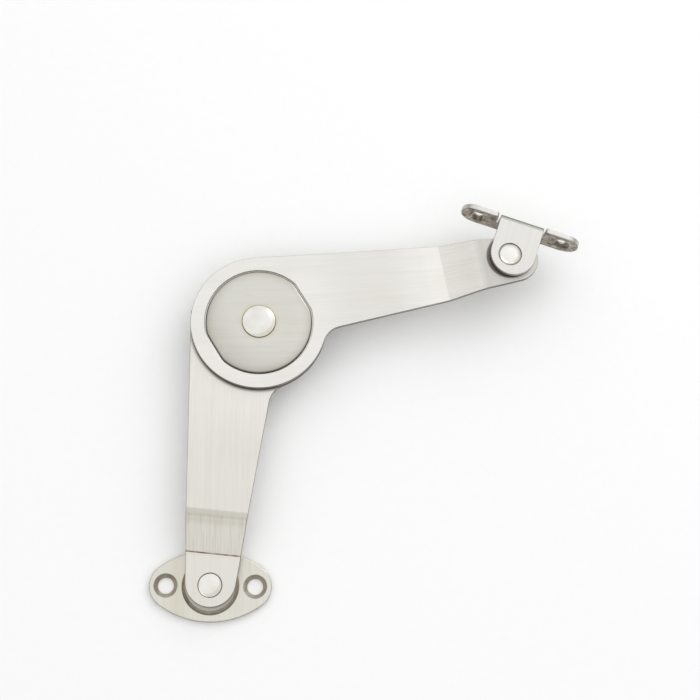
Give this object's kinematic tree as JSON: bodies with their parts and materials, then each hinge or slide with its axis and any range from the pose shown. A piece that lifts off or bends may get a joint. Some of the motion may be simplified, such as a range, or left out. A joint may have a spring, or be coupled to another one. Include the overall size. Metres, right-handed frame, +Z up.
{
  "type": "casement window stay",
  "caption": "Folding friction stay for a casement window: stepped sheet arms on a keyed friction hub, an oval frame plate and a flanged sash bracket.",
  "frame": {"origin": "centre of the frame plate's two screw holes, on the plate's underside; the frame pivot passes through it", "axes": "+X along the frame plate's screw holes, +Z up out of the plate along all three pivots, +Y towards the hub"},
  "size_m": [0.1539, 0.1525, 0.0213],
  "materials": {
    "satin_plate": "satin nickel plating",
    "satin_arm": "satin nickel plating, brushed along the arm",
    "satin_cap": "satin nickel plating, brushed one way",
    "satin_bracket": "satin nickel plating",
    "rivet_steel": "plated steel, pressed smooth",
    "washer_steel": "plain plated washer",
    "spring_steel": "hardened, oiled",
    "friction_fibre": "bonded friction fibre",
    "spacer_plastic": "dark nylon"
  },
  "bodies": {
    "frame_mount": {"frame_plate": "satin_plate", "frame_pivot_rivet": "rivet_steel", "frame_pivot_washer": "washer_steel"},
    "frame_arm": {"frame_arm": "satin_arm", "frame_friction_cap": "satin_cap", "frame_friction_pad": "friction_fibre", "hub_rivet": "rivet_steel", "hub_backing_washer": "washer_steel", "hub_spacer_ring": "spacer_plastic"},
    "sash_arm": {"sash_arm": "satin_arm", "sash_friction_cap": "satin_cap", "sash_friction_pad": "friction_fibre", "hub_friction_plate": "washer_steel", "hub_disc_spring": "spring_steel", "sash_pivot_washer": "washer_steel", "sash_backing_washer": "washer_steel"},
    "sash_mount": {"sash_bracket": "satin_bracket", "sash_pivot_rivet": "rivet_steel"}
  },
  "joints": [
    {"name": "frame_pivot", "type": "hinge", "parent": "frame_mount", "child": "frame_arm", "pos_m": [0, 0, 0.005], "axis": [0, 0, 1], "range_deg": [-90, 90]},
    {"name": "hub_pivot", "type": "hinge", "parent": "frame_arm", "child": "sash_arm", "pos_m": [0.01434, 0.09348, 0.0114], "axis": [0, 0, 1], "range_deg": [-100, 60]},
    {"name": "sash_pivot", "type": "hinge", "parent": "sash_arm", "child": "sash_mount", "pos_m": [0.10547, 0.11957, 0.019], "axis": [0, 0, 1], "range_deg": [-145, 30]}
  ]
}
